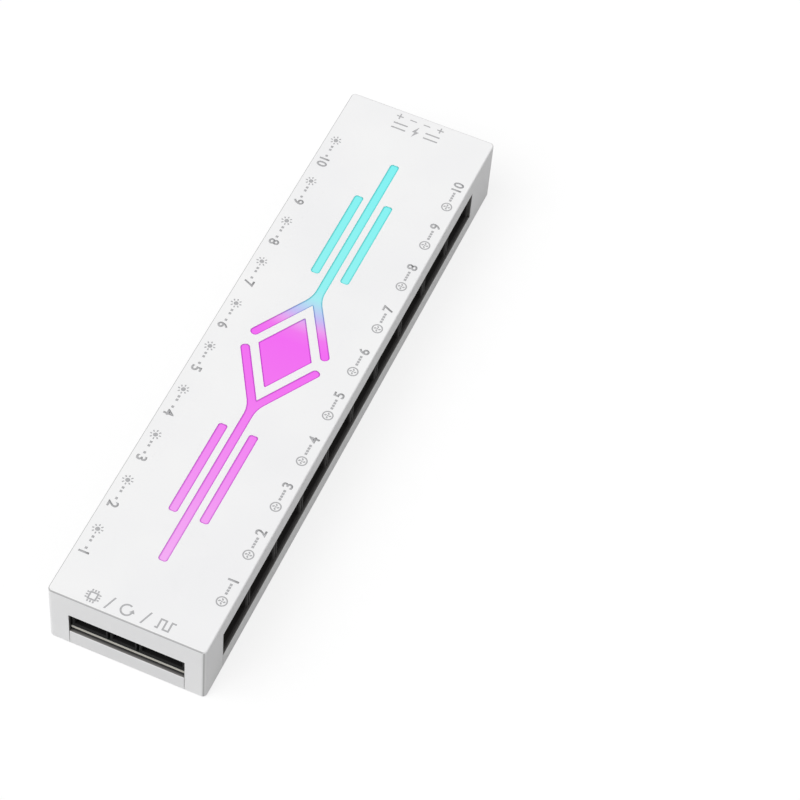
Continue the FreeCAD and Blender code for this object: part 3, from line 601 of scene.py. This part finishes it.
def select_face_edges(piece, level):
    """Selects in edit mode the edges that lie in the plane at a level of X."""
    bpy.ops.object.mode_set(mode="EDIT")
    bpy.ops.mesh.select_mode(type="EDGE")
    bpy.ops.mesh.select_all(action="DESELECT")
    bpy.ops.object.mode_set(mode="OBJECT")
    vertices = piece.data.vertices
    nearness = 0.01 * MM
    for edge in piece.data.edges:
        edge.select = all(abs(vertices[i].co.x - level) < nearness for i in edge.vertices)
    bpy.ops.object.mode_set(mode="EDIT")


# Printed marks: outlines in units of the symbol's radius


def circle_outline(radius, count=40):
    """Points round a circle."""
    turns = [2 * math.pi * i / count for i in range(count)]
    return [(radius * math.cos(t), radius * math.sin(t)) for t in turns]


def turned(outline, angle):
    """An outline turned about the middle."""
    c, s = math.cos(angle), math.sin(angle)
    return [(x * c - y * s, x * s + y * c) for x, y in outline]


def shifted(outline, dx, dy):
    """An outline moved."""
    return [(x + dx, y + dy) for x, y in outline]


def bar_outline(x_low, y_low, x_high, y_high):
    """The corners of an upright rectangle."""
    return [(x_low, y_low), (x_high, y_low), (x_high, y_high), (x_low, y_high)]


def fan_symbol():
    """A ring with four slanted blades round a hub."""
    blade = [(x * 0.24, y * 0.15) for x, y in circle_outline(1.0, 20)]
    blade = shifted(turned(blade, math.radians(38.0)), 0.42, 0.0)
    blades = [turned(blade, math.pi / 2 * i) for i in range(4)]
    return [circle_outline(1.0), circle_outline(0.76), circle_outline(0.15, 16)] + blades


def light_symbol():
    """A disc with eight rays."""
    ray = bar_outline(0.62, -0.12, 1.0, 0.12)
    return [circle_outline(0.42, 28)] + [turned(ray, math.pi / 4 * i) for i in range(8)]


def pin_symbol(places):
    """Small squares in a row for a plug's pins, centred on the origin."""
    return [bar_outline(place - 0.23, -0.23, place + 0.23, 0.23) for place in places]


def chip_symbol():
    """A square package with three legs at each side."""
    outlines = [bar_outline(-0.66, -0.66, 0.66, 0.66), bar_outline(-0.42, -0.42, 0.42, 0.42)]
    for quarter in range(4):
        for place in (-0.42, 0.0, 0.42):
            leg = bar_outline(0.72, place - 0.11, 1.04, place + 0.11)
            outlines.append(turned(leg, math.pi / 2 * quarter))
    return outlines


def loop_symbol():
    """An open ring that ends in an arrowhead."""
    start, end, count = math.radians(60.0), math.radians(345.0), 30
    turns = [start + (end - start) * i / count for i in range(count + 1)]
    outer = [(0.96 * math.cos(t), 0.96 * math.sin(t)) for t in turns]
    inner = [(0.7 * math.cos(t), 0.7 * math.sin(t)) for t in reversed(turns)]
    head = [(1.22, -0.2), (0.86, 0.36), (0.42, -0.16)]
    return [outer + head + inner]


def wave_symbol():
    """One period and a half of a square wave."""
    high, low, t = 0.72, -0.72, 0.125
    upper = [(-1.3, low + t), (-0.9 - t, low + t), (-0.9 - t, high + t), (-0.1 + t, high + t)]
    upper += [(-0.1 + t, low + t), (0.7 - t, low + t), (0.7 - t, high + t), (1.3, high + t)]
    lower = [(1.3, high - t), (0.7 + t, high - t), (0.7 + t, low - t), (-0.1 - t, low - t)]
    lower += [(-0.1 - t, high - t), (-0.9 + t, high - t), (-0.9 + t, low - t), (-1.3, low - t)]
    return [upper + lower]


def bolt_symbol():
    """A flash of lightning."""
    return [[(0.25, 1.15), (-0.55, -0.1), (-0.06, -0.1), (-0.25, -1.15), (0.55, 0.14), (0.08, 0.14)]]


def plus_symbol():
    """A plus sign."""
    a, b = 0.66, 0.125
    lower = [(-a, -b), (-b, -b), (-b, -a), (b, -a), (b, -b), (a, -b)]
    return [lower + [(-x, -y) for x, y in lower]]


def minus_symbol():
    """A minus sign."""
    return [bar_outline(-0.66, -0.125, 0.66, 0.125)]


def slash_symbol():
    """A slanted stroke."""
    return [[(-0.5, -1.05), (-0.24, -1.05), (0.5, 1.05), (0.24, 1.05)]]


def line_symbol():
    """Two heavy lines, one over the other."""
    return [bar_outline(-1.15, -0.62, 1.15, -0.36), bar_outline(-1.15, 0.36, 1.15, 0.62)]


def print_outlines(name, outlines, scale, thickness):
    """A thin flat mark from outlines, where an outline inside another is a hole."""
    curve = bpy.data.curves.new(name, "CURVE")
    curve.dimensions = "2D"
    curve.fill_mode = "BOTH"
    curve.extrude = thickness / 2
    for outline in outlines:
        spline = curve.splines.new("POLY")
        spline.points.add(len(outline) - 1)
        for point, (x, y) in zip(spline.points, outline):
            point.co = (x * scale, y * scale, 0.0, 1.0)
        spline.use_cyclic_u = True
    mark = bpy.data.objects.new(name, curve)
    bpy.context.scene.collection.objects.link(mark)
    return as_mesh(mark)


def print_text(name, text, height, thickness):
    """A thin flat numeral of a height, centred on the origin."""
    bpy.ops.object.select_all(action="DESELECT")
    bpy.ops.object.text_add(location=(0.0, 0.0, 0.0))
    mark = bpy.context.object
    mark.name = name
    mark.data.body = text
    mark.data.size = 1.0
    mark.data.offset = 0.025
    mark = as_mesh(mark)
    low, high = mesh_limits(mark)
    scale = height / (high.y - low.y)
    middle = (low + high) / 2
    mark.data.transform(Matrix.Diagonal((scale, scale, 1.0, 1.0)) @ Matrix.Translation(-middle))
    select_only(mark)
    bpy.ops.object.mode_set(mode="EDIT")
    bpy.ops.mesh.select_all(action="SELECT")
    bpy.ops.mesh.dissolve_limited(angle_limit=FLAT_ANGLE)
    bpy.ops.mesh.extrude_region_move(TRANSFORM_OT_translate={"value": (0.0, 0.0, thickness)})
    bpy.ops.mesh.select_all(action="SELECT")
    bpy.ops.mesh.normals_make_consistent(inside=False)
    bpy.ops.object.mode_set(mode="OBJECT")
    mark.data.transform(Matrix.Translation((0.0, 0.0, -thickness / 2)))
    return mark


def as_mesh(mark):
    """A text or curve turned into a mesh with its doubles merged."""
    select_only(mark)
    bpy.ops.object.convert(target="MESH")
    mark = bpy.context.object
    bpy.ops.object.mode_set(mode="EDIT")
    bpy.ops.mesh.select_all(action="SELECT")
    bpy.ops.mesh.remove_doubles(threshold=MARK_MERGE)
    bpy.ops.object.mode_set(mode="OBJECT")
    return mark


def mesh_limits(piece):
    """The lowest and highest corner of a piece's mesh."""
    points = [v.co for v in piece.data.vertices]
    low = Vector([min(p[axis] for p in points) for axis in range(3)])
    high = Vector([max(p[axis] for p in points) for axis in range(3)])
    return low, high


def lay_mark(mark, x, y, angle, lift):
    """Moves a flat mark to its place on the case's top, turned about Z."""
    mark.data.transform(Matrix.Translation((x, y, lift)) @ Matrix.Rotation(angle, 4, "Z"))


def join_marks(marks, name):
    """Several marks as one piece."""
    select_only(marks[0])
    for mark in marks[1:]:
        mark.select_set(True)
    bpy.ops.object.join()
    marks[0].name = name
    return marks[0]


def label_mark(name, symbols, number, sizes):
    """Symbols with a port's number after them in a row, centred on the origin."""
    radius, thickness = sizes.symbol_radius, sizes.ink_thickness
    marks = [print_outlines(f"{name}_{i}", symbol, radius, thickness) for i, symbol in enumerate(symbols)]
    marks.append(print_text(f"{name}_number", str(number), sizes.numeral_height, thickness))
    limits = [mesh_limits(mark) for mark in marks]
    width = sum(high.x - low.x for low, high in limits) + sizes.symbol_gap * (len(marks) - 1)
    start = -width / 2
    for mark, (low, high) in zip(marks, limits):
        mark.data.transform(Matrix.Translation((start - low.x, 0.0, 0.0)))
        start += high.x - low.x + sizes.symbol_gap
    return join_marks(marks, name)


# Operators, one for each piece or group of like pieces


class HUB_OT_case(bpy.types.Operator):
    """Adds the two white case mouldings with softly broken edges"""

    bl_idname = "hub.add_case"
    bl_label = "Case mouldings"

    def execute(self, context):
        sizes, colours = context.scene.hub_sizes, context.scene.hub_colours
        white = make_case_plastic("moulded_white_abs", colours.case, colours.case_shade)
        # The cover's darker white is painted shade on the lower wall strip
        cover_white_shaded = make_case_plastic("moulded_cover_abs_painted_shade", colours.cover, colours.cover_shade)
        mouldings = (("top_shell", "shell_moulding", white), ("bottom_cover", "cover_moulding", cover_white_shaded))
        for node, name, plastic in mouldings:
            piece = clean_copy(node, name)
            if node == "bottom_cover":
                split_faces(piece)
            break_edges(piece, sizes.case_edge)
            dress(piece, plastic)
            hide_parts(node)
        return {"FINISHED"}


class HUB_OT_figure(bpy.types.Operator):
    """Adds the opal light guide whose raised figure fills the case's windows"""

    bl_idname = "hub.add_figure"
    bl_label = "Lit figure"

    def execute(self, context):
        piece = clean_copy("light_guide", "lit_figure")
        break_edges(piece, context.scene.hub_sizes.figure_edge)
        dress(piece, make_glow_plastic())
        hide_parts("light_guide")
        return {"FINISHED"}


class HUB_OT_pad(bpy.types.Operator):
    """Adds the magnetic pad in the underside"""

    bl_idname = "hub.add_pad"
    bl_label = "Magnetic pad"

    def execute(self, context):
        low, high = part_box("magnetic_pad")
        bpy.ops.object.select_all(action="DESELECT")
        bpy.ops.mesh.primitive_cube_add(size=1.0, location=(0.0, 0.0, 0.0))
        piece = context.object
        piece.name = "magnetic_sheet"
        size = high - low
        scale = Matrix.Diagonal((size.x, size.y, size.z, 1.0))
        piece.data.transform(Matrix.Translation((low + high) / 2) @ scale)
        break_edges(piece, context.scene.hub_sizes.pad_edge, segments=3)
        dress(piece, make_pad_rubber(context.scene.hub_colours))
        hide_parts("magnetic_pad")
        return {"FINISHED"}


class HUB_OT_side_sockets(bpy.types.Operator):
    """Adds the two rows of sockets and their pins, each modelled once and copied along the hub"""

    bl_idname = "hub.add_side_sockets"
    bl_label = "Side sockets"

    def execute(self, context):
        sizes, colours = context.scene.hub_sizes, context.scene.hub_colours
        plastic = make_socket_plastic("moulded_black_nylon", colours.socket, colours.socket_shade)
        metal = make_contact_metal(colours)
        for kind in ("fan", "rgb"):
            header, pins = f"{kind}_header", f"{kind}_pins"
            pieces = [
                (header, "header_plastic", plastic, self.make_header(header, sizes)),
                (pins, "pin_metal", metal, self.make_pins(pins, sizes)),
            ]
            for node, slot, material, first in pieces:
                start = middle_of(f"{node}_1").y
                for number in range(1, PORT_COUNT + 1):
                    step = middle_of(f"{node}_{number}").y - start
                    piece = first if number == 1 else copy_along(first, f"{node}_piece_{number}", step)
                    dress(piece, material)
                    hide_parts(f"{node}_{number}")
        return {"FINISHED"}

    def make_header(self, node, sizes):
        """The first socket of a row."""
        piece = clean_copy(f"{node}_1", f"{node}_piece_1")
        break_edges(piece, sizes.socket_edge)
        return piece

    def make_pins(self, node, sizes):
        """The first set of pins of a row, with pointed tips."""
        piece = clean_copy(f"{node}_1", f"{node}_piece_1")
        low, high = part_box(f"{node}_1")
        tip = high.x if high.x > -low.x else low.x
        select_face_edges(piece, tip)
        bpy.ops.mesh.bevel(offset=sizes.pin_point, segments=1, affect="EDGES")
        bpy.ops.object.mode_set(mode="OBJECT")
        break_edges(piece, sizes.pin_edge, segments=1, angle=60.0)
        return piece


class HUB_OT_end_sockets(bpy.types.Operator):
    """Adds the three signal sockets and the power socket with their pins"""

    bl_idname = "hub.add_end_sockets"
    bl_label = "End sockets"

    def execute(self, context):
        sizes, colours = context.scene.hub_sizes, context.scene.hub_colours
        plastic = make_socket_plastic(
            "moulded_black_polyester", colours.signal_socket, colours.signal_socket_shade,
        )
        metal = bpy.data.materials["gold_flashed_brass"]
        for kind in ("sync", "reset", "pwm", "power"):
            socket = clean_copy(f"{kind}_socket", f"{kind}_socket_piece")
            break_edges(socket, sizes.socket_edge)
            dress(socket, plastic)
            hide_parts(f"{kind}_socket")
            pins = clean_copy(f"{kind}_pins", f"{kind}_pins_piece")
            break_edges(pins, sizes.pin_edge, segments=1)
            dress(pins, metal)
            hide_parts(f"{kind}_pins")
        return {"FINISHED"}


class HUB_OT_board(bpy.types.Operator):
    """Adds the circuit board, its screws and the parts on it"""

    bl_idname = "hub.add_board"
    bl_label = "Board and its parts"

    def execute(self, context):
        colours = context.scene.hub_colours
        epoxy = make_package_epoxy(colours)
        parts = [
            ("circuit_board", make_board_laminate(colours), "board_laminate"),
            ("board_screws", make_screw_steel(colours), "screw_steel"),
            ("light_emitters", make_emitter_plastic(colours), "emitter_plastic"),
            ("bulk_capacitors", make_can_aluminium(colours), "capacitor_metal"),
            ("controller_chip", epoxy, "chip_plastic"),
            ("signal_buffer", epoxy, "chip_plastic"),
            ("voltage_regulator", epoxy, "chip_plastic"),
        ]
        for node, material, slot in parts:
            piece = clean_copy(node, f"{node}_piece")
            break_edges(piece, context.scene.hub_sizes.part_edge, segments=1)
            dress(piece, material)
            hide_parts(node)
        return {"FINISHED"}


class HUB_OT_port_labels(bpy.types.Operator):
    """Prints a symbol and a plain number beside each port"""

    bl_idname = "hub.add_port_labels"
    bl_label = "Port labels"

    def execute(self, context):
        sizes = context.scene.hub_sizes
        ink = make_ink(context.scene.hub_colours)
        low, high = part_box("top_shell")
        # A fan plug has four pins in a row, a light plug three with a gap before the last
        fan_signs = (fan_symbol(), pin_symbol((-0.9, -0.3, 0.3, 0.9)))
        light_signs = (light_symbol(), pin_symbol((-1.2, -0.4, 1.2)))
        rows = [
            ("fan", fan_signs, high.x - sizes.label_inset, math.pi / 2),
            ("rgb", light_signs, low.x + sizes.label_inset, -math.pi / 2),
        ]
        for kind, symbols, x, angle in rows:
            for number in range(1, PORT_COUNT + 1):
                mark = label_mark(f"{kind}_label_{number}", symbols, number, sizes)
                lay_mark(mark, x, middle_of(f"{kind}_header_{number}").y, angle, high.z)
                dress(mark, ink)
        return {"FINISHED"}


class HUB_OT_end_labels(bpy.types.Operator):
    """Prints plain symbols over the signal sockets and beside the power socket"""

    bl_idname = "hub.add_end_labels"
    bl_label = "End labels"

    # From the far end to the row of signs and to the row of lines, and the steps along each row
    sign_inset = 1.9 * MM
    line_inset = 4.7 * MM
    sign_pitch = 3.2 * MM
    line_pitch = 3.8 * MM

    def execute(self, context):
        sizes = context.scene.hub_sizes
        ink = bpy.data.materials["pad_printed_ink"]
        low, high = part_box("top_shell")
        near = low.y + sizes.label_inset
        places = [middle_of(f"{kind}_socket").x for kind in ("sync", "reset", "pwm")]
        large, small = sizes.end_symbol_radius, sizes.symbol_radius
        marks = [
            (chip_symbol(), large, places[0], near, 0.0),
            (slash_symbol(), large, (places[0] + places[1]) / 2, near, 0.0),
            (loop_symbol(), large, places[1], near, 0.0),
            (slash_symbol(), large, (places[1] + places[2]) / 2, near, 0.0),
            (wave_symbol(), large, places[2], near, 0.0),
        ]
        sign_y = high.y - self.sign_inset
        line_y = high.y - self.line_inset
        signs = (plus_symbol(), minus_symbol(), minus_symbol(), plus_symbol())
        for step, sign in zip((-1.5, -0.5, 0.5, 1.5), signs):
            marks.append((sign, small, step * self.sign_pitch, sign_y, math.pi))
        for step, sign in zip((-1.0, 0.0, 1.0), (line_symbol(), bolt_symbol(), line_symbol())):
            marks.append((sign, large, step * self.line_pitch, line_y, math.pi))
        for index, (symbol, radius, x, y, angle) in enumerate(marks, start=1):
            mark = print_outlines(f"end_mark_{index}", symbol, radius, sizes.ink_thickness)
            lay_mark(mark, x, y, angle, high.z)
            dress(mark, ink)
        return {"FINISHED"}


class HUB_OT_stage(bpy.types.Operator):
    """Adds the pale floor, the plain light and the camera"""

    bl_idname = "hub.add_stage"
    bl_label = "Stage"

    world_level = 0.5
    sun_level = 0.64
    sun_from = (-0.3, -0.36, 0.6)
    sun_width = math.radians(50.0)
    # Metres across, and how far the floor lies below the hub so that no faces meet
    floor_side = 6.0
    floor_drop = 0.02 * MM
    # The share of plain white in what the camera sees of the floor; the rest takes the shadow
    floor_white = 0.8

    def execute(self, context):
        self.add_floor(context)
        self.add_world(context)
        self.add_sun()
        self.add_camera(context)
        context.scene.view_settings.view_transform = "Standard"
        return {"FINISHED"}

    def seen_directly(self, tree):
        """1 for rays from the camera, a mirror or through glass, and 0 for those that light things."""
        rays = add_node(tree, "ShaderNodeLightPath")
        level = rays.outputs["Is Camera Ray"]
        for name in ("Is Glossy Ray", "Is Transmission Ray"):
            either = add_node(tree, "ShaderNodeMath", {0: level, 1: rays.outputs[name]}, operation="MAXIMUM")
            level = either.outputs["Value"]
        return level

    def add_floor(self, context):
        """A wide floor that looks white, keeps the hub's shadow and lights it from below only a little."""
        bpy.ops.object.select_all(action="DESELECT")
        bpy.ops.mesh.primitive_plane_add(size=self.floor_side, location=(0.0, 0.0, -self.floor_drop))
        floor = context.object
        floor.name = "floor"
        material, tree = new_material("matt_white_paper")
        # The paper's fibre, in patches of 4 mm, varies how matt it is
        fibre = patches(tree, 4.0, detail=4.0)
        lit = add_node(tree, "ShaderNodeBsdfDiffuse", {"Color": context.scene.hub_colours.floor})
        white = add_node(tree, "ShaderNodeBsdfDiffuse", {"Color": linear("#FFFFFF"), "Roughness": fibre})
        glow = add_node(tree, "ShaderNodeEmission", {"Color": linear("#FFFFFF"), "Strength": 1.0})
        seen = add_node(
            tree, "ShaderNodeMixShader", {0: self.floor_white, 1: white.outputs[0], 2: glow.outputs[0]},
        )
        either = add_node(
            tree, "ShaderNodeMixShader",
            {0: self.seen_directly(tree), 1: lit.outputs[0], 2: seen.outputs[0]},
        )
        finish_material(tree, either)
        floor.data.materials.append(material)

    def add_world(self, context):
        """An even sky that looks white."""
        world = bpy.data.worlds.new("even_sky")
        world.use_nodes = True
        tree = world.node_tree
        tree.nodes.clear()
        level = add_node(
            tree, "ShaderNodeMapRange",
            {"Value": self.seen_directly(tree), "To Min": self.world_level, "To Max": 1.0},
        )
        strength = level.outputs["Result"]
        sky = add_node(tree, "ShaderNodeBackground", {"Color": linear("#FFFFFF"), "Strength": strength})
        add_node(tree, "ShaderNodeOutputWorld", {"Surface": sky.outputs[0]})
        context.scene.world = world

    def add_sun(self):
        """One soft lamp from above, the signal end and a little from the light side."""
        bpy.ops.object.select_all(action="DESELECT")
        bpy.ops.object.light_add(type="SUN", location=(0.0, 0.0, 1.0))
        sun = bpy.context.object
        sun.name = "soft_sun"
        direction = Vector(self.sun_from)
        sun.rotation_euler = direction.to_track_quat("Z", "Y").to_euler()
        sun.data.energy = self.sun_level * math.pi
        sun.data.angle = self.sun_width

    def add_camera(self, context):
        """The camera at the photograph's place and angle."""
        bpy.ops.object.select_all(action="DESELECT")
        bpy.ops.object.camera_add(location=CAMERA_PLACE)
        camera = context.object
        camera.name = "photo_camera"
        axes = Matrix((CAMERA_RIGHT, [-c for c in CAMERA_DOWN], [-c for c in CAMERA_FORWARD])).transposed()
        camera.rotation_euler = axes.to_euler()
        camera.data.sensor_width = SENSOR_WIDTH
        camera.data.lens = FOCAL_PIXELS / IMAGE_SIDE * SENSOR_WIDTH
        camera.data.clip_start = 0.01
        camera.data.clip_end = 20.0
        context.scene.camera = camera


STEPS = (
    HUB_OT_case,
    HUB_OT_figure,
    HUB_OT_pad,
    HUB_OT_side_sockets,
    HUB_OT_end_sockets,
    HUB_OT_board,
    HUB_OT_port_labels,
    HUB_OT_end_labels,
    HUB_OT_stage,
)


class HUB_PT_panel(bpy.types.Panel):
    """Lists the hub's settings and the steps that build it"""

    bl_idname = "HUB_PT_panel"
    bl_label = "Fan hub"
    bl_space_type = "VIEW_3D"
    bl_region_type = "UI"
    bl_category = "Hub"

    def draw(self, context):
        for settings in (context.scene.hub_sizes, context.scene.hub_colours):
            for name in settings.__annotations__:
                self.layout.prop(settings, name)
        for step in STEPS:
            self.layout.operator(step.bl_idname)


CLASSES = (HubSizes, HubColours) + STEPS + (HUB_PT_panel,)


def register():
    """Registers the classes and the scene's settings."""
    for cls in CLASSES:
        bpy.utils.register_class(cls)
    bpy.types.Scene.hub_sizes = bpy.props.PointerProperty(type=HubSizes)
    bpy.types.Scene.hub_colours = bpy.props.PointerProperty(type=HubColours)


def unregister():
    """Removes the scene's settings and the classes."""
    del bpy.types.Scene.hub_colours
    del bpy.types.Scene.hub_sizes
    for cls in reversed(CLASSES):
        bpy.utils.unregister_class(cls)


def main():
    """Builds the hub step by step."""
    register()
    for step in STEPS:
        group, name = step.bl_idname.split(".")
        getattr(getattr(bpy.ops, group), name)()


if __name__ == "__main__":
    main()
